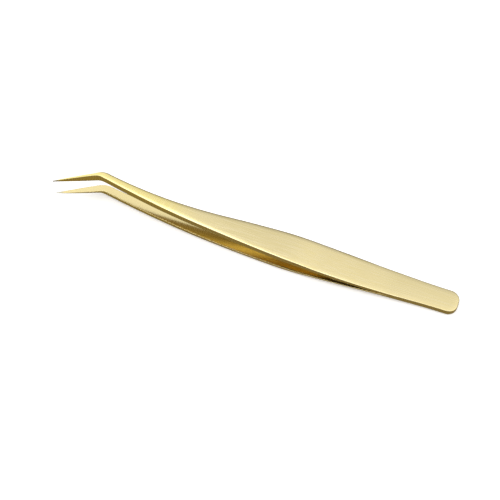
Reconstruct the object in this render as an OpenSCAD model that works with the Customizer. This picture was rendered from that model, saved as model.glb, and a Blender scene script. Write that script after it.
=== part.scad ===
// Angled fine-point tweezers.
//
// Two spring arms are joined by spot welds at the tail. They lie together there, bow apart over the
// grip, and stay apart to the tips. Seen from above, each arm is widest at the grip, narrows to a
// neck that sweeps a little to one side, and ends in a straight fine tip bent back to the other side.
//
// Each arm is one strip of spring steel that bends just ahead of the welds. Here the strip is split
// into a fixed tail and a moving arm, which meet on a round seat whose axis is where the strip bends.
//
// Frame, in millimetres: the tail points to +X and the tips to -X. The arms open along Z and mirror
// each other in the plane Z = 0. The tips are bent towards -Y. The origin is on the straight
// centreline of the grip, half way between the tail end and the tips.

/* [Overall] */

// Length from the tail end to the tips
overall_l = 135; // [130:1:145]
// Gap between the two tips at rest
tip_gap = 7; // [6:0.5:8]
// Height over both arms at the bend
bend_h = 11; // [10.5:0.1:12]

/* [Outline seen from above] */

// Width of each arm near the tail end
tail_w = 7.5; // [6.5:0.1:8.5]
// Greatest width of the grip
grip_w = 10.2; // [9.5:0.1:11.5]
// Width of the neck just before the bend
neck_w = 2.65; // [2.2:0.05:3]
// Corner radius of the tail end
tail_corner_r = 3; // [2:0.1:3.2]

/* [Neck and tip] */

// Distance from the tail end at which the neck starts to sweep sideways
straight_l = 77; // [73:1:79]
// Radius of the neck's sideways sweep
neck_r = 235; // [220:5:300]
// Length of the neck along its sweep
neck_l = 42; // [40:1:44]
// Angle between the neck and the tip
bend_angle = 36.6; // [30:0.2:42]
// Radius of the bend on the centreline
bend_r = 5.5; // [3:0.1:7]
// Width of the very end of the tip
point_w = 0.3; // [0.2:0.05:0.5]
// Thickness of the very end of the tip
point_t = 0.3; // [0.2:0.05:0.5]

/* [Thickness of the strip] */

// Thickness at the welded tail
tail_t = 1.2; // [1.1:0.05:1.4]
// Thickness where the strip bends
flex_t = 1; // [0.9:0.05:1.1]
// Thickness at the front of the grip
neck_t = 1.75; // [1.5:0.05:1.9]
// Thickness at the bend
bend_t = 2.3; // [2:0.05:2.5]

/* [Rounded outer edges] */

// Width of the rounding on the tail and the grip
edge_w = 0.2; // [0.15:0.05:0.3]
// Height of the rounding on the tail and the grip
edge_h = 0.3; // [0.2:0.05:0.4]
// Width of the rounding at the bend
bend_edge_w = 0.35; // [0.3:0.05:0.5]
// Height of the rounding at the bend
bend_edge_h = 0.6; // [0.4:0.05:0.8]
// Share of the tip's width that stays flat along its back
back_share = 0.34; // [0.25:0.01:0.5]

/* [Flexure and welds] */

// Distance from the tail end to the axis about which an arm bends
flex_from_tail = 31; // [30:0.5:33]
// Radius of the round seat between a tail and its arm
seat_r = 2; // [1.5:0.1:2.5]
// Running gap in that seat
seat_gap = 0.05; // [0.04:0.01:0.1]
// Diameter of a spot weld
weld_d = 3; // [2:0.1:3.5]
// Depth of a spot weld in each tail
weld_depth = 0.4; // [0.3:0.05:0.5]
// Distance from the tail end to the rear weld
rear_weld_from_tail = 6; // [5:0.5:7]
// Distance from the tail end to the front weld
front_weld_from_tail = 15; // [13:0.5:17]

/* [Hidden] */

gold = [0.86, 0.74, 0.45];
weld_grey = [0.62, 0.58, 0.5];

function mix(a, b, t) = a + (b - a) * t;
function smooth(t) = t * t * (3 - 2 * t);

// Full width of an arm at points along it: [distance from the tail end, width].
widths = [
    [0, tail_w],
    [0.052 * overall_l, mix(tail_w, grip_w, 0.04)],
    [0.163 * overall_l, mix(tail_w, grip_w, 0.46)],
    [0.281 * overall_l, mix(tail_w, grip_w, 0.93)],
    [0.341 * overall_l, grip_w],
    [0.400 * overall_l, mix(neck_w, grip_w, 0.97)],
    [0.504 * overall_l, mix(neck_w, grip_w, 0.76)],
    [0.607 * overall_l, mix(neck_w, grip_w, 0.46)],
    [0.711 * overall_l, mix(neck_w, grip_w, 0.22)],
    [0.807 * overall_l, mix(neck_w, grip_w, 0.06)],
    [0.867 * overall_l, neck_w]
];

// Height of the outer face above the plane between the arms: [distance from the tail end, height].
bend_half = bend_h / 2;
heights = [
    [0, tail_t],
    [0.148 * overall_l, tail_t],
    [0.222 * overall_l, mix(tail_t, bend_half, 0.09)],
    [0.326 * overall_l, mix(tail_t, bend_half, 0.33)],
    [0.400 * overall_l, mix(tail_t, bend_half, 0.56)],
    [0.504 * overall_l, mix(tail_t, bend_half, 0.69)],
    [0.607 * overall_l, mix(tail_t, bend_half, 0.79)],
    [0.711 * overall_l, mix(tail_t, bend_half, 0.85)],
    [0.807 * overall_l, mix(tail_t, bend_half, 0.94)],
    [0.874 * overall_l, bend_half]
];

// Thickness of the strip: [distance from the tail end, thickness].
thicknesses = [
    [0, tail_t],
    [0.148 * overall_l, tail_t],
    [0.252 * overall_l, flex_t],
    [0.356 * overall_l, mix(flex_t, neck_t, 0.53)],
    [0.444 * overall_l, neck_t],
    [0.550 * overall_l, neck_t],
    [0.680 * overall_l, mix(neck_t, bend_t, 0.6)],
    [0.807 * overall_l, mix(neck_t, bend_t, 0.9)],
    [0.874 * overall_l, bend_t]
];

// A smooth curve through [distance, value] points that never overshoots between two of them.
function step_slope(pts, i) = (pts[i + 1][1] - pts[i][1]) / (pts[i + 1][0] - pts[i][0]);
function joined_slope(m, n) = m * n <= 0 ? 0 : 2 * m * n / (m + n);
function end_slope(pts, i) =
    i == 0 ? step_slope(pts, 0)
    : i == len(pts) - 1 ? step_slope(pts, i - 1)
    : joined_slope(step_slope(pts, i - 1), step_slope(pts, i));
function span_of(pts, s) = max([for (i = [0:len(pts) - 2]) if (pts[i][0] <= s) i]);
function hermite(t, h, y0, m0, y1, m1) =
    (1 + 2 * t) * pow(1 - t, 2) * y0 + t * pow(1 - t, 2) * h * m0
    + t * t * (3 - 2 * t) * y1 + t * t * (t - 1) * h * m1;
function along(pts, s) =
    s <= pts[0][0] ? pts[0][1]
    : s >= pts[len(pts) - 1][0] ? pts[len(pts) - 1][1]
    : let (i = span_of(pts, s), h = pts[i + 1][0] - pts[i][0])
      hermite((s - pts[i][0]) / h, h, pts[i][1], end_slope(pts, i), pts[i + 1][1], end_slope(pts, i + 1));

// Centreline, seen from above: straight, then the neck's sweep, then the bend, then the straight tip.
// Each place is [distance from the tail end along X, sideways offset, heading in degrees].
sweep_angle = neck_l / neck_r * 180 / PI;
tip_heading = sweep_angle - bend_angle;
neck_end_s = straight_l + neck_l;
bend_end_s = neck_end_s + bend_r * bend_angle * PI / 180;
neck_end = [straight_l + neck_r * sin(sweep_angle), neck_r * (1 - cos(sweep_angle)), sweep_angle];
bend_centre = [neck_end[0] + bend_r * sin(sweep_angle), neck_end[1] - bend_r * cos(sweep_angle)];
bend_end = [
    bend_centre[0] - bend_r * sin(tip_heading),
    bend_centre[1] + bend_r * cos(tip_heading),
    tip_heading
];
tip_l = (overall_l - bend_end[0]) / cos(tip_heading);
arm_l = bend_end_s + tip_l;

function on_neck(q) = [straight_l + neck_r * sin(q), neck_r * (1 - cos(q)), q];
function on_bend(q) = [bend_centre[0] - bend_r * sin(q), bend_centre[1] + bend_r * cos(q), q];
function on_tip(d) = [bend_end[0] + d * cos(tip_heading), bend_end[1] + d * sin(tip_heading), tip_heading];
function centreline(s) =
    s <= straight_l ? [s, 0, 0]
    : s <= neck_end_s ? on_neck((s - straight_l) / neck_r * 180 / PI)
    : s <= bend_end_s ? on_bend(sweep_angle - (s - neck_end_s) / bend_r * 180 / PI)
    : on_tip(s - bend_end_s);

// Past the neck everything tapers to the point: 0 at the neck's end, 1 at the point.
function tip_share(s) = s <= neck_end_s ? 0 : min(1, (s - neck_end_s) / (arm_l - neck_end_s));
taper_power = 1.4;
bevel_from = 0.3;
bevel_height_share = 0.85;

function width_at(s) = mix(point_w, along(widths, s), 1 - pow(tip_share(s), taper_power));
function thickness_at(s) = mix(point_t, along(thicknesses, s), 1 - pow(tip_share(s), taper_power));
function inner_at(s) = mix(along(heights, s) - along(thicknesses, s), tip_gap / 2, tip_share(s));

// The outer edges are rounded. The rounding grows along the neck, and on the tip it turns into a flat
// bevel on each side, which leaves only a narrow flat back.
function neck_share(s) = max(0, min(1, (s / overall_l - 0.444) / 0.43));
function bevel_share(s) = smooth(min(1, tip_share(s) / bevel_from));
function edge_w_at(s) =
    mix(mix(edge_w, bend_edge_w, neck_share(s)), width_at(s) * (1 - back_share) / 2, bevel_share(s));
function edge_h_at(s) =
    mix(mix(edge_h, bend_edge_h, neck_share(s)), bevel_height_share * thickness_at(s), bevel_share(s));

// Half width of the outline at s, drawn in from its edge by inset. The tail end has round corners.
function half_width(s, inset) =
    let (r = tail_corner_r - inset, b = max(0, s - inset))
    width_at(s) / 2 - inset - max(0, inset - s) - (b < r ? r - sqrt(r * r - pow(r - b, 2)) : 0);

// How far the outer face drops where the rounding runs around the tail end.
least_drop = 0.05;
function end_drop(s) =
    s >= edge_w ? 0 : edge_h * (1 - least_drop) * (1 - sqrt(1 - pow(1 - s / edge_w, 2)));

// One cross-section as [sideways, height] points: the inner face, a side wall, a rounded edge, the
// outer face, and the other side the same.
edge_steps = [0, 30, 60, 90];
function section(s) =
    let (
        outer = half_width(s, 0),
        face = half_width(s, edge_w_at(s)),
        zi = inner_at(s),
        zo = zi + thickness_at(s),
        eh = edge_h_at(s),
        top = zo - end_drop(s),
        bevel = bevel_share(s),
        edge = [for (q = edge_steps)
            let (out = mix(cos(q), 1 - q / 90, bevel), up = mix(sin(q), q / 90, bevel))
            [mix(face, outer, out), min(top, zo - eh + eh * up)]]
    )
    concat([[-outer, zi]], [for (p = edge) [-p[0], p[1]]], [for (i = [len(edge) - 1:-1:0]) edge[i]],
        [[outer, zi]]);

// The same cross-section in place on the centreline.
function ring(s) =
    let (c = centreline(s))
    [for (p = section(s)) [
        overall_l / 2 - (c[0] - p[0] * sin(c[2])),
        c[1] + p[0] * cos(c[2]),
        p[1]
    ]];

// Stations along the arm, closer together where the shape turns faster.
function spaced(a, b, n) = [for (i = [0:n - 1]) mix(a, b, i / n)];
tail_end_stations = concat(
    [0, edge_w / 4],
    [for (q = [20:10:80]) tail_corner_r * (1 - cos(q))],
    [tail_corner_r]
);
tail_steps = 14;
grip_steps = 14;
neck_steps = 12;
bend_steps = 8;
tip_steps = 14;
tail_stations = concat(tail_end_stations, [for (s = spaced(tail_corner_r, flex_from_tail, tail_steps))
    if (s > tail_corner_r) s], [flex_from_tail]);
arm_stations = concat(
    spaced(flex_from_tail - seat_r - 1, straight_l, grip_steps),
    spaced(straight_l, neck_end_s, neck_steps),
    spaced(neck_end_s, bend_end_s, bend_steps),
    spaced(bend_end_s, arm_l, tip_steps),
    [arm_l]
);

// A closed solid through the cross-sections at the given stations.
module loft(stations) {
    rings = [for (s = stations) ring(s)];
    n = len(rings[0]);
    last = len(rings) - 1;
    sides = [for (i = [0:last - 1]) for (j = [0:n - 1])
        let (k = (j + 1) % n)
        [i * n + j, i * n + k, (i + 1) * n + k, (i + 1) * n + j]];
    start_cap = [for (j = [n - 1:-1:0]) j];
    end_cap = [for (j = [0:n - 1]) last * n + j];
    polyhedron(points = [for (r = rings) each r], faces = concat(sides, [start_cap, end_cap]));
}

// The axis about which the upper arm bends, in the middle of the strip's thickness.
flex_x = overall_l / 2 - flex_from_tail;
flex_z = inner_at(flex_from_tail) + thickness_at(flex_from_tail) / 2;
spare_w = grip_w + 2;

module seat(r) {
    translate([flex_x, spare_w / 2, flex_z])
        rotate([90, 0, 0])
            cylinder(r = r, h = spare_w, $fn = 96);
}

module weld(from_tail) {
    translate([overall_l / 2 - from_tail, 0, -weld_depth])
        cylinder(d = weld_d, h = 2 * weld_depth, $fn = 64);
}

module tail_strip() {
    difference() {
        loft(tail_stations);
        seat(seat_r + seat_gap);
        weld(rear_weld_from_tail);
        weld(front_weld_from_tail);
    }
}

module arm_strip() {
    difference() {
        loft(arm_stations);
        difference() {
            translate([flex_x, -spare_w / 2, flex_z - spare_w / 2])
                cube([spare_w, spare_w, spare_w]);
            seat(seat_r);
        }
    }
}

// Fixed, welded end of the upper strip.
module upper_tail() {
    color(gold) tail_strip();
}

// Fixed, welded end of the lower strip.
module lower_tail() {
    color(gold) mirror([0, 0, 1]) tail_strip();
}

// Moving part of the upper strip, with its grip, neck and tip.
module upper_arm() {
    color(gold) arm_strip();
}

// Moving part of the lower strip, with its grip, neck and tip.
module lower_arm() {
    color(gold) mirror([0, 0, 1]) arm_strip();
}

// Spot weld between the two tails, near the tail end.
module spot_weld_rear() {
    color(weld_grey) weld(rear_weld_from_tail);
}

// Spot weld between the two tails, near the flexure.
module spot_weld_front() {
    color(weld_grey) weld(front_weld_from_tail);
}

upper_tail();
lower_tail();
upper_arm();
lower_arm();
spot_weld_rear();
spot_weld_front();
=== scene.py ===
"""Angled fine-point tweezers: the looks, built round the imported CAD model.

Each arm is one continuous strip of gold-coated spring steel, from the welded tail to the point. The
CAD splits every strip where it bends; here each strip is one mesh that bends between the two bodies.

The frame is the CAD's: the tail points to +X, the tips to -X, the arms mirror each other in Z = 0,
and the tips are bent towards -Y. Shapes are worked out in millimetres and turned into metres when a
mesh is made.
"""

import math

import bpy
from mathutils import Matrix, Vector


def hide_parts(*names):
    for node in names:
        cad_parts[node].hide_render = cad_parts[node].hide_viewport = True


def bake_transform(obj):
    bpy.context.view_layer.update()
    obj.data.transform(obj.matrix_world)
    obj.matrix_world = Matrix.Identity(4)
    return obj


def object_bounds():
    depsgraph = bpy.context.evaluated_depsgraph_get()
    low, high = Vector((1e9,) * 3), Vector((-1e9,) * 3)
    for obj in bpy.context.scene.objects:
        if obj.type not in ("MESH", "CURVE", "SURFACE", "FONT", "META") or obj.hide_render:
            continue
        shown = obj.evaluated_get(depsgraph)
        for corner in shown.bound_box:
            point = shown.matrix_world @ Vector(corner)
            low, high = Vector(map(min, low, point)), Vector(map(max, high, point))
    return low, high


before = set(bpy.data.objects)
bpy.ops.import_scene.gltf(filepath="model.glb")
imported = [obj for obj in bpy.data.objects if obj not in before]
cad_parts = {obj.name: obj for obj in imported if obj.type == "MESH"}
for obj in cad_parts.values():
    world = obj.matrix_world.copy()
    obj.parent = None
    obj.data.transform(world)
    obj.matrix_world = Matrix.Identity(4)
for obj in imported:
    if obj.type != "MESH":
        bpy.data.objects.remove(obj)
cad_low, cad_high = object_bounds()

MM = 0.001


# ---------------------------------------------------------------- camera

CAMERA_AZIMUTH = 19.79
CAMERA_ELEVATION = 61.51
CAMERA_DISTANCE = 0.3109
CAMERA_LENS = 70.68
CAMERA_TARGET = Vector((0.81, -3.47, 0)) * MM


def make_camera():
    """The camera looks down at the tweezers from the near side, a little from the tail's end."""
    azimuth, elevation = math.radians(CAMERA_AZIMUTH), math.radians(CAMERA_ELEVATION)
    back = Vector((
        math.sin(azimuth) * math.cos(elevation),
        -math.cos(azimuth) * math.cos(elevation),
        math.sin(elevation),
    ))
    data = bpy.data.cameras.new("camera")
    data.lens = CAMERA_LENS
    data.sensor_width = 36
    data.clip_start, data.clip_end = 0.01, 10
    camera = bpy.data.objects.new("camera", data)
    camera.location = CAMERA_TARGET + back * CAMERA_DISTANCE
    camera.rotation_mode = "QUATERNION"
    camera.rotation_quaternion = (-back).to_track_quat("-Z", "Y")
    bpy.context.scene.collection.objects.link(camera)
    bpy.context.scene.camera = camera


make_camera()


# ---------------------------------------------------------------- shape of a strip, in millimetres

OVERALL_L = 2 * cad_high.x / MM
TIP_GAP, BEND_H = 7.0, 11.0
TAIL_W, GRIP_W, NECK_W = 7.5, 10.2, 2.65
TAIL_CORNER_R = 3.0
STRAIGHT_L, NECK_R, NECK_L = 77.0, 235.0, 42.0
BEND_ANGLE, BEND_R = math.radians(36.6), 5.5
POINT_W, POINT_T = 0.3, 0.3
TAIL_T, FLEX_T, NECK_T, BEND_T = 1.2, 1.0, 1.75, 2.3

EDGE_W, EDGE_H = 0.5, 0.75
TAIL_EDGE_W, TAIL_EDGE_H = 0.28, 0.45
INNER_EDGE = 0.09
ROLL_W, ROLL_DROP = 1.7, 0.16
CROWN_DROP = 0.1
BACK_SHARE = 0.34
BEVEL_HEIGHT_SHARE = 0.85
BEVEL_FROM = 0.3
TAPER_POWER = 1.4
BODY_EDGE_FROM, BODY_EDGE_TO = 18, 40
# Where the neck's ground-across finish and its painted-reflection yellower gold fade in, in millimetres
# along the strip.
NECK_FINISH_AND_REFLECTION_FROM, NECK_FINISH_AND_REFLECTION_TO = 84, 100
BARE_FROM_POINT, BARE_TO_POINT = 3.0, 1.0


def mix(a, b, t):
    return a + (b - a) * t


def smooth(t):
    t = max(0.0, min(1.0, t))
    return t * t * (3 - 2 * t)


def arc_steps(n):
    """n + 1 angles from 0 to a quarter turn."""
    return [math.pi / 2 * i / n for i in range(n + 1)]


BEND_HALF = BEND_H / 2
WIDTHS = [
    (0, TAIL_W),
    (0.052, mix(TAIL_W, GRIP_W, 0.04)),
    (0.163, mix(TAIL_W, GRIP_W, 0.46)),
    (0.281, mix(TAIL_W, GRIP_W, 0.93)),
    (0.341, GRIP_W),
    (0.400, mix(NECK_W, GRIP_W, 0.97)),
    (0.504, mix(NECK_W, GRIP_W, 0.76)),
    (0.607, mix(NECK_W, GRIP_W, 0.46)),
    (0.711, mix(NECK_W, GRIP_W, 0.22)),
    (0.807, mix(NECK_W, GRIP_W, 0.06)),
    (0.867, NECK_W),
]
HEIGHTS = [
    (0, TAIL_T),
    (0.148, TAIL_T),
    (0.222, mix(TAIL_T, BEND_HALF, 0.09)),
    (0.326, mix(TAIL_T, BEND_HALF, 0.33)),
    (0.400, mix(TAIL_T, BEND_HALF, 0.56)),
    (0.504, mix(TAIL_T, BEND_HALF, 0.69)),
    (0.607, mix(TAIL_T, BEND_HALF, 0.79)),
    (0.711, mix(TAIL_T, BEND_HALF, 0.85)),
    (0.807, mix(TAIL_T, BEND_HALF, 0.94)),
    (0.874, BEND_HALF),
]
THICKNESSES = [
    (0, TAIL_T),
    (0.148, TAIL_T),
    (0.252, FLEX_T),
    (0.356, mix(FLEX_T, NECK_T, 0.53)),
    (0.444, NECK_T),
    (0.550, NECK_T),
    (0.680, mix(NECK_T, BEND_T, 0.6)),
    (0.807, mix(NECK_T, BEND_T, 0.9)),
    (0.874, BEND_T),
]


def along(points, s):
    """A smooth curve through [share of the overall length, value] points, which never overshoots."""
    x = [p[0] * OVERALL_L for p in points]
    y = [p[1] for p in points]
    if s <= x[0]:
        return y[0]
    if s >= x[-1]:
        return y[-1]
    steps = [(y[i + 1] - y[i]) / (x[i + 1] - x[i]) for i in range(len(x) - 1)]

    def slope(i):
        if i in (0, len(steps)):
            return steps[0 if i == 0 else -1]
        a, b = steps[i - 1], steps[i]
        return 0 if a * b <= 0 else 2 * a * b / (a + b)

    i = max(k for k in range(len(steps)) if x[k] <= s)
    h = x[i + 1] - x[i]
    t = (s - x[i]) / h
    return (
        (1 + 2 * t) * (1 - t) ** 2 * y[i]
        + t * (1 - t) ** 2 * h * slope(i)
        + t * t * (3 - 2 * t) * y[i + 1]
        + t * t * (t - 1) * h * slope(i + 1)
    )


SWEEP = NECK_L / NECK_R
TIP_HEADING = SWEEP - BEND_ANGLE
NECK_END = STRAIGHT_L + NECK_L
BEND_END = NECK_END + BEND_R * BEND_ANGLE


def on_neck(turn):
    return STRAIGHT_L + NECK_R * math.sin(turn), NECK_R * (1 - math.cos(turn))


def on_bend(heading):
    x, y = on_neck(SWEEP)
    x += BEND_R * (math.sin(SWEEP) - math.sin(heading))
    y += BEND_R * (math.cos(heading) - math.cos(SWEEP))
    return x, y


TIP_L = (OVERALL_L - on_bend(TIP_HEADING)[0]) / math.cos(TIP_HEADING)
ARM_L = BEND_END + TIP_L


def centreline(s):
    """(distance from the tail end along X, sideways offset, heading) of the strip's middle at s."""
    if s <= STRAIGHT_L:
        return s, 0.0, 0.0
    if s <= NECK_END:
        turn = (s - STRAIGHT_L) / NECK_R
        return *on_neck(turn), turn
    if s <= BEND_END:
        heading = SWEEP - (s - NECK_END) / BEND_R
        return *on_bend(heading), heading
    x, y = on_bend(TIP_HEADING)
    d = s - BEND_END
    return x + d * math.cos(TIP_HEADING), y + d * math.sin(TIP_HEADING), TIP_HEADING


def tip_share(s):
    """0 up to the neck's end, 1 at the point."""
    return max(0.0, min(1.0, (s - NECK_END) / (ARM_L - NECK_END)))


def width_at(s):
    return mix(POINT_W, along(WIDTHS, s), 1 - tip_share(s) ** TAPER_POWER)


def thickness_at(s):
    return mix(POINT_T, along(THICKNESSES, s), 1 - tip_share(s) ** TAPER_POWER)


def inner_at(s):
    return mix(along(HEIGHTS, s) - along(THICKNESSES, s), TIP_GAP / 2, tip_share(s))


def bevel_share(s):
    """0 up to the neck's end, 1 where the tip has flat bevels in place of rounded edges."""
    return smooth(tip_share(s) / BEVEL_FROM)


def depth_in(s, q):
    """How far the point q to the side of the centreline lies inside the strip's outline at s."""
    half = width_at(s) / 2
    if s < TAIL_CORNER_R and abs(q) > half - TAIL_CORNER_R:
        return TAIL_CORNER_R - math.hypot(TAIL_CORNER_R - s, abs(q) - half + TAIL_CORNER_R)
    return min(s, half - abs(q)) if s < half else half - abs(q)


def outline_at(s):
    """Half width of the outline at s, with the tail end's round corners."""
    half = width_at(s) / 2
    if s >= TAIL_CORNER_R:
        return half
    return half - TAIL_CORNER_R + math.sqrt(TAIL_CORNER_R**2 - (TAIL_CORNER_R - s) ** 2)


def edges_at(s):
    """The rounded outer edge's width and height, and how wide and deep the face rolls off before it."""
    body = smooth((s - BODY_EDGE_FROM) / (BODY_EDGE_TO - BODY_EDGE_FROM))
    width, height = mix(TAIL_EDGE_W, EDGE_W, body), mix(TAIL_EDGE_H, EDGE_H, body)
    bevel = bevel_share(s)
    full = width_at(s)
    width = mix(width, full * (1 - BACK_SHARE) / 2, bevel)
    height = mix(height, BEVEL_HEIGHT_SHARE * thickness_at(s), bevel)
    roll = min(ROLL_W, 0.36 * full)
    drop = ROLL_DROP * (roll / ROLL_W) * (1 - bevel) * mix(0.55, 1, body)
    return width, height, roll, drop


def rounded(depth, width, height, bevel=0.0):
    """How far a surface drops at a depth inside the outline: over a round edge, or a flat bevel."""
    if depth >= width:
        return 0.0
    out = 1 - depth / width
    return height * mix(1 - math.sqrt(max(0.0, 1 - out**2)), out, bevel)


FACE_STEPS = 8
ROLL_STEPS = 9
EDGE_STEPS = 10
WALL_STEPS = 3
INNER_EDGE_STEPS = 3
INNER_STEPS = 10


def half_depths(s):
    """Depths inside the outline for the points of one half of the outer face, edge first."""
    half = width_at(s) / 2
    width, _, roll, _ = edges_at(s)
    roll = max(min(roll, 0.9 * half), width * 1.05)
    edge = [width * (1 - math.sin(a)) for a in reversed(arc_steps(EDGE_STEPS))]
    rolling = [mix(width, roll, (i + 1) / ROLL_STEPS) for i in range(ROLL_STEPS)]
    flat = [mix(roll, half, (i + 1) / FACE_STEPS) for i in range(FACE_STEPS)]
    return [d / half for d in edge + rolling + flat]


def section(s):
    """One closed cross-section at s as (sideways, height) points, from the inner face's -side round."""
    outline = outline_at(s)
    width, height, roll, drop = edges_at(s)
    bevel = bevel_share(s)
    zi = inner_at(s)
    zo = zi + thickness_at(s)
    rim = min(INNER_EDGE, 0.25 * thickness_at(s))

    def outer(q):
        depth = max(0.0, depth_in(s, q))
        rolled = drop * max(0.0, 1 - depth / roll) ** 2
        crowned = CROWN_DROP * (1 - bevel) * (q / (width_at(s) / 2)) ** 2
        return zo - crowned - rolled - rounded(depth, width, height, bevel)

    def inner(q):
        return zi + rounded(max(0.0, depth_in(s, q)), rim, rim)

    top = [(outline * (1 - d), outer(outline * (1 - d))) for d in half_depths(s)]
    rim_q = [outline - min(rim, outline / 2) * (1 - math.cos(a)) for a in arc_steps(INNER_EDGE_STEPS)]
    low = [(q, inner(q)) for q in rim_q]
    flat = [
        (rim_q[-1] * (1 - (i + 1) / INNER_STEPS), inner(rim_q[-1] * (1 - (i + 1) / INNER_STEPS)))
        for i in range(INNER_STEPS)
    ]
    wall = [
        (outline, mix(low[0][1], top[0][1], (i + 1) / (WALL_STEPS + 1))) for i in range(WALL_STEPS)
    ]
    right = flat[::-1] + low[::-1] + wall + top
    left = [(-q, z) for q, z in right[-2:0:-1]]
    return right + left


def spaced(a, b, n):
    return [mix(a, b, i / n) for i in range(n)]


def stations():
    """Distances along the strip, closest where the outline or the edge turns fastest."""
    edge = [TAIL_EDGE_W * (1 - math.sin(a)) for a in reversed(arc_steps(8))]
    corner = [
        TAIL_CORNER_R * (1 - math.cos(a)) for a in arc_steps(16)
        if TAIL_CORNER_R * (1 - math.cos(a)) > TAIL_EDGE_W * 1.05
    ]
    return (
        edge
        + corner
        + spaced(TAIL_CORNER_R, STRAIGHT_L, 84)[1:]
        + spaced(STRAIGHT_L, NECK_END, 44)
        + spaced(NECK_END, BEND_END, 14)
        + spaced(BEND_END, ARM_L, 30)
        + [ARM_L]
    )


def place(s, q, z, side):
    """A cross-section's point in the row frame, in metres."""
    x, y, heading = centreline(s)
    return Vector((
        OVERALL_L / 2 - (x - q * math.sin(heading)),
        y + q * math.cos(heading),
        side * z,
    )) * MM


def make_strip(name, side):
    """One arm's strip as a closed mesh. side is 1 for the upper arm and -1 for the lower."""
    along_strip = stations()
    sections = [section(s) for s in along_strip]
    n = len(sections[0])
    vertices, distance, across, inward = [], [], [], []
    for s, points in zip(along_strip, sections):
        middle = inner_at(s) + 0.25 * thickness_at(s)
        for q, z in points:
            vertices.append(place(s, q, z, side))
            distance.append(s)
            across.append(q)
            inward.append(1.0 if z < middle and abs(q) < outline_at(s) - 0.03 else 0.0)
    faces = []
    for i in range(len(sections) - 1):
        for j in range(n):
            k = (j + 1) % n
            faces.append((i * n + j, i * n + k, (i + 1) * n + k, (i + 1) * n + j))
    last = (len(sections) - 1) * n
    faces.append(tuple(range(n - 1, -1, -1)))
    faces.append(tuple(last + j for j in range(n)))
    if side < 0:
        faces = [tuple(reversed(f)) for f in faces]
    mesh = bpy.data.meshes.new(name)
    mesh.from_pydata(vertices, [], faces)
    for label, values in (
        ("strip_along", distance),
        ("strip_across", across),
        ("strip_inside", inward),
    ):
        attribute = mesh.attributes.new(label, "FLOAT", "POINT")
        attribute.data.foreach_set("value", values)
    mesh.polygons.foreach_set("use_smooth", [True] * len(mesh.polygons))
    mesh.update()
    strip = bpy.data.objects.new(name, mesh)
    bpy.context.scene.collection.objects.link(strip)
    return strip


# ---------------------------------------------------------------- materials


class Nodes:
    """A short way to write a node tree."""

    def __init__(self, tree):
        self.tree = tree
        tree.nodes.clear()

    def add(self, kind, inputs=None, **settings):
        node = self.tree.nodes.new(kind)
        for key, value in settings.items():
            setattr(node, key, value)
        for key, value in (inputs or {}).items():
            if isinstance(value, bpy.types.NodeSocket):
                self.tree.links.new(value, node.inputs[key])
            else:
                node.inputs[key].default_value = value
        return node

    def math(self, operation, a, b=0.0, c=0.0, clamp=False):
        node = self.add("ShaderNodeMath", {0: a, 1: b, 2: c}, operation=operation, use_clamp=clamp)
        return node.outputs[0]

    def ramp(self, value, low, high, to_low=0.0, to_high=1.0):
        node = self.add(
            "ShaderNodeMapRange",
            {"Value": value, "From Min": low, "From Max": high, "To Min": to_low, "To Max": to_high},
            interpolation_type="SMOOTHSTEP",
        )
        return node.outputs["Result"]

    def profile(self, value, points):
        """A level that follows (value, level) points, for values from -1 to 1."""
        node = self.add("ShaderNodeValToRGB", {"Fac": self.math("MULTIPLY_ADD", value, 0.5, 0.5)})
        ramp = node.color_ramp
        while len(ramp.elements) < len(points):
            ramp.elements.new(0.5)
        for element, (at, level) in zip(ramp.elements, points):
            element.position = at / 2 + 0.5
            element.color = (level, level, level, 1)
        return node.outputs["Color"]

    def blend_colours(self, share, a, b):
        node = self.tree.nodes.new("ShaderNodeMix")
        node.data_type = "RGBA"
        for socket, value in ((node.inputs[0], share), (node.inputs[6], a), (node.inputs[7], b)):
            if isinstance(value, bpy.types.NodeSocket):
                self.tree.links.new(value, socket)
            else:
                socket.default_value = value
        return node.outputs[2]


BODY_GOLD = (0.84, 0.71, 0.36, 1)
# The neck's yellower gold is a painted reflection: it stands in for the warmer light the neck reflects, not
# a different plating.
NECK_PAINTED_REFLECTION_GOLD = (0.92, 0.78, 0.30, 1)
INNER_GOLD = (0.85, 0.72, 0.37, 1)
STREAK_GOLD = (0.90, 0.80, 0.55, 1)
POINT_STEEL = (0.60, 0.57, 0.47, 1)
WELD_DARK = (0.42, 0.38, 0.32, 1)
WELD_PALE = (0.66, 0.62, 0.54, 1)


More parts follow.
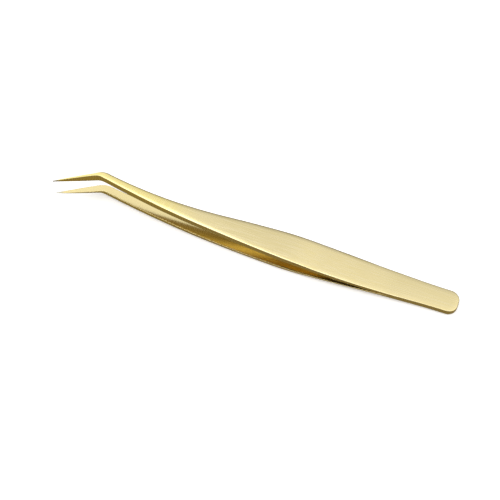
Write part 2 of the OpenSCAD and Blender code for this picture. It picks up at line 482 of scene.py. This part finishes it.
def gold_material():
    """Gold-coated steel: brushed lengthwise on the grip, ground across on the neck, where a painted
    reflection makes the gold yellower.
    """
    material = bpy.data.materials.new("brushed_gold")
    material.use_nodes = True
    t = Nodes(material.node_tree)
    distance = t.add("ShaderNodeAttribute", attribute_name="strip_along").outputs["Fac"]
    across = t.add("ShaderNodeAttribute", attribute_name="strip_across").outputs["Fac"]
    height = t.add("ShaderNodeTexCoord").outputs["Object"]
    split = t.add("ShaderNodeSeparateXYZ", {"Vector": height}).outputs
    tall = t.math("MULTIPLY", split["Z"], 1000)

    long_way = t.add("ShaderNodeCombineXYZ", {
        "X": t.math("MULTIPLY", distance, 0.05),
        "Y": t.math("MULTIPLY", across, 2.4),
        "Z": t.math("MULTIPLY", tall, 2.4),
    }).outputs[0]
    cross_way = t.add("ShaderNodeCombineXYZ", {
        "X": t.math("MULTIPLY", distance, 3.4),
        "Y": t.math("MULTIPLY", across, 0.3),
        "Z": t.math("MULTIPLY", tall, 0.3),
    }).outputs[0]
    brushed = t.add("ShaderNodeTexNoise", {
        "Vector": long_way, "Scale": 1.0, "Detail": 5.0, "Roughness": 0.65,
    }).outputs["Fac"]
    ground = t.add("ShaderNodeTexNoise", {
        "Vector": cross_way, "Scale": 1.0, "Detail": 4.0, "Roughness": 0.6,
    }).outputs["Fac"]
    cloudy = t.add("ShaderNodeTexNoise", {
        "Vector": height, "Scale": 260.0, "Detail": 2.0, "Roughness": 0.5,
    }).outputs["Fac"]
    on_neck_share = t.ramp(distance, NECK_FINISH_AND_REFLECTION_FROM, NECK_FINISH_AND_REFLECTION_TO)
    grain = t.add("ShaderNodeMix", {0: on_neck_share, 2: brushed, 3: ground}, data_type="FLOAT").outputs[0]

    # Painted reflection: the neck's outer faces are mixed towards a yellower gold, standing in for what they
    # reflect.
    colour = t.blend_colours(on_neck_share, BODY_GOLD, NECK_PAINTED_REFLECTION_GOLD)
    streak_share = t.ramp(distance, NECK_FINISH_AND_REFLECTION_FROM, NECK_FINISH_AND_REFLECTION_TO, 0.4, 0.25)
    streaky = t.math("MULTIPLY", t.ramp(grain, 0.3, 0.7), streak_share)
    paler = t.blend_colours(streaky, colour, STREAK_GOLD)
    bare = t.ramp(distance, ARM_L - BARE_FROM_POINT, ARM_L - BARE_TO_POINT)
    inside = t.add("ShaderNodeAttribute", attribute_name="strip_inside").outputs["Fac"]
    colour = t.blend_colours(inside, paler, INNER_GOLD)
    colour = t.blend_colours(bare, colour, POINT_STEEL)

    rough = t.math("ADD", t.ramp(grain, 0.3, 0.7, 0.18, 0.27), t.math("MULTIPLY", cloudy, 0.05))
    rough = t.math("MULTIPLY", rough, t.ramp(inside, 0, 1, 1.0, 0.7))
    bump = t.add("ShaderNodeBump", {
        "Strength": 0.1, "Distance": 0.00002, "Height": grain,
    }).outputs["Normal"]
    shader = t.add("ShaderNodeBsdfPrincipled", {
        "Base Color": colour, "Metallic": 1.0, "Roughness": rough, "Normal": bump,
    })
    t.add("ShaderNodeOutputMaterial", {"Surface": shader.outputs[0]})
    return material


def weld_material():
    """Fused steel of a spot weld: dull and grainy."""
    material = bpy.data.materials.new("spot_weld")
    material.use_nodes = True
    t = Nodes(material.node_tree)
    place_on = t.add("ShaderNodeTexCoord").outputs["Object"]
    grain = t.add("ShaderNodeTexNoise", {"Vector": place_on, "Scale": 3000.0, "Detail": 4.0}).outputs["Fac"]
    colour = t.blend_colours(t.ramp(grain, 0.35, 0.65), WELD_DARK, WELD_PALE)
    bump = t.add("ShaderNodeBump", {"Strength": 0.3, "Distance": 0.00005, "Height": grain}).outputs["Normal"]
    shader = t.add("ShaderNodeBsdfPrincipled", {
        "Base Color": colour, "Metallic": 1.0,
        "Roughness": t.ramp(grain, 0.3, 0.7, 0.4, 0.6), "Normal": bump,
    })
    t.add("ShaderNodeOutputMaterial", {"Surface": shader.outputs[0]})
    return material


# ---------------------------------------------------------------- the two strips and the welds


def add_strips():
    gold = gold_material()
    for arm, side in (("upper", 1), ("lower", -1)):
        strip = make_strip(f"{arm}_strip", side)
        strip.data.materials.append(gold)
        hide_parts(f"{arm}_tail", f"{arm}_arm")
        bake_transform(strip)


def dress_welds():
    weld = weld_material()
    for name in ("spot_weld_rear", "spot_weld_front"):
        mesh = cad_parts[name].data
        mesh.materials.clear()
        mesh.materials.append(weld)


add_strips()
dress_welds()


# ---------------------------------------------------------------- floor and light

FLOOR_SIZE = 3.0
GRIP_REST = 57.0


def make_floor():
    """A pale floor through the two places where the tweezers rest: the tail end and the grip.

    It is hidden from mirror reflections, so the steel's walls show the dim world below instead.
    """
    drop = along(HEIGHTS, GRIP_REST) - TAIL_T
    lean = math.atan2(drop, GRIP_REST)
    bpy.ops.mesh.primitive_plane_add(size=FLOOR_SIZE)
    floor = bpy.context.active_object
    floor.name = "floor"
    floor.matrix_world = (
        Matrix.Translation(Vector((OVERALL_L / 2, 0, -TAIL_T - 0.05)) * MM)
        @ Matrix.Rotation(-lean, 4, "Y")
    )
    material = bpy.data.materials.new("floor_paper")
    material.use_nodes = True
    t = Nodes(material.node_tree)
    shader = t.add("ShaderNodeBsdfPrincipled", {
        "Base Color": (0.9, 0.9, 0.9, 1), "Roughness": 0.9,
        "Emission Color": (1, 1, 1, 1), "Emission Strength": 0.35,
    })
    shader.inputs["Specular IOR Level"].default_value = 0.1
    t.add("ShaderNodeOutputMaterial", {"Surface": shader.outputs[0]})
    floor.data.materials.append(material)
    floor.visible_glossy = False


BACKDROP_R, BACKDROP_TOP = 1.4, 2.0
BACKDROP_STEPS = 48


def make_backdrop():
    """A plain white wall far round the tweezers. Only the camera sees it; it lights nothing."""
    turns = [2 * math.pi * i / BACKDROP_STEPS for i in range(BACKDROP_STEPS)]
    points = [
        (BACKDROP_R * math.cos(a), BACKDROP_R * math.sin(a), z)
        for z in (-BACKDROP_TOP, BACKDROP_TOP) for a in turns
    ]
    walls = [
        (i, (i + 1) % BACKDROP_STEPS, BACKDROP_STEPS + (i + 1) % BACKDROP_STEPS, BACKDROP_STEPS + i)
        for i in range(BACKDROP_STEPS)
    ]
    mesh = bpy.data.meshes.new("backdrop")
    mesh.from_pydata(points, [], walls)
    material = bpy.data.materials.new("backdrop_paper")
    material.use_nodes = True
    t = Nodes(material.node_tree)
    glow = t.add("ShaderNodeEmission", {"Color": (1, 1, 1, 1), "Strength": 1.0})
    t.add("ShaderNodeOutputMaterial", {"Surface": glow.outputs[0]})
    mesh.materials.append(material)
    backdrop = bpy.data.objects.new("backdrop", mesh)
    bpy.context.scene.collection.objects.link(backdrop)
    backdrop.visible_diffuse = False
    backdrop.visible_glossy = False
    backdrop.visible_shadow = False


SKY_ACROSS = [(-0.85, 0.10), (-0.20, 1.15), (0.60, 0.85), (0.90, 0.10)]
SKY_LENGTHWISE = [(-0.40, 1.25), (-0.10, 0.90), (0.20, 1.20)]
HORIZON = (0.27, 0.20, 0.075, 1)
GROUND = (0.24, 0.19, 0.085, 1)
HORIZON_BLEND = (0.02, 0.3)
GROUND_BLEND = (-0.35, -0.9)


def make_world():
    """Soft white studio: bright overhead, a little more over both ends, and dim and warm below."""
    world = bpy.data.worlds.new("studio")
    bpy.context.scene.world = world
    world.use_nodes = True
    t = Nodes(world.node_tree)
    direction = t.add("ShaderNodeTexCoord").outputs["Generated"]
    split = t.add("ShaderNodeSeparateXYZ", {"Vector": direction}).outputs
    across = t.profile(split["Y"], SKY_ACROSS)
    lengthwise = t.profile(split["X"], SKY_LENGTHWISE)
    above = t.ramp(split["Z"], *HORIZON_BLEND)
    sky = t.math("MULTIPLY", across, lengthwise)
    below = t.blend_colours(t.ramp(split["Z"], *GROUND_BLEND), HORIZON, GROUND)
    colour = t.blend_colours(above, below, sky)
    background = t.add("ShaderNodeBackground", {"Color": colour, "Strength": 1.0})
    t.add("ShaderNodeOutputWorld", {"Surface": background.outputs[0]})


def add_softbox(name, size, power, location, target=(0, 0, 0)):
    data = bpy.data.lights.new(name, "AREA")
    data.shape = "RECTANGLE"
    data.size, data.size_y = size
    data.energy = power
    lamp = bpy.data.objects.new(name, data)
    lamp.location = location
    lamp.rotation_mode = "QUATERNION"
    lamp.rotation_quaternion = (Vector(target) - Vector(location)).to_track_quat("-Z", "Y")
    bpy.context.scene.collection.objects.link(lamp)


make_floor()
make_backdrop()
make_world()
add_softbox("overhead", (0.7, 0.5), 1.5, (-0.15, -0.18, 0.75))
bpy.context.scene.view_settings.view_transform = "Standard"
